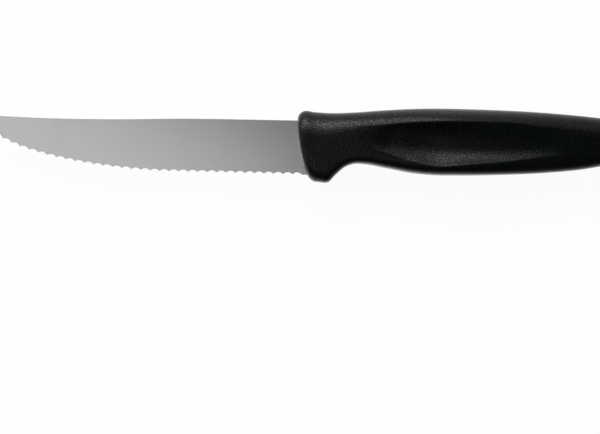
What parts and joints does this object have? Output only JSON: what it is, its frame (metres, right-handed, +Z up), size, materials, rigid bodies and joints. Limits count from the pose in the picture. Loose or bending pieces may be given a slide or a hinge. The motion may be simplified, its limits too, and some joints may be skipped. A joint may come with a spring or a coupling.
{
  "type": "steak knife",
  "caption": "Serrated steak knife: a flat ground steel blade with a sweeping scalloped edge, in a black moulded grip with a finger stop and scooped sides.",
  "frame": {"origin": "bottom centre of the knife's box, as the knife lies on its right side", "axes": "+X from the tip to the butt, +Y from the cutting edge to the spine, +Z up, out of the blade's left face"},
  "size_m": [0.21, 0.0236, 0.016],
  "materials": {
    "blade_steel": "satin",
    "handle_plastic": "satin"
  },
  "bodies": {
    "root": {"blade": "blade_steel", "handle": "handle_plastic"}
  },
  "joints": []
}
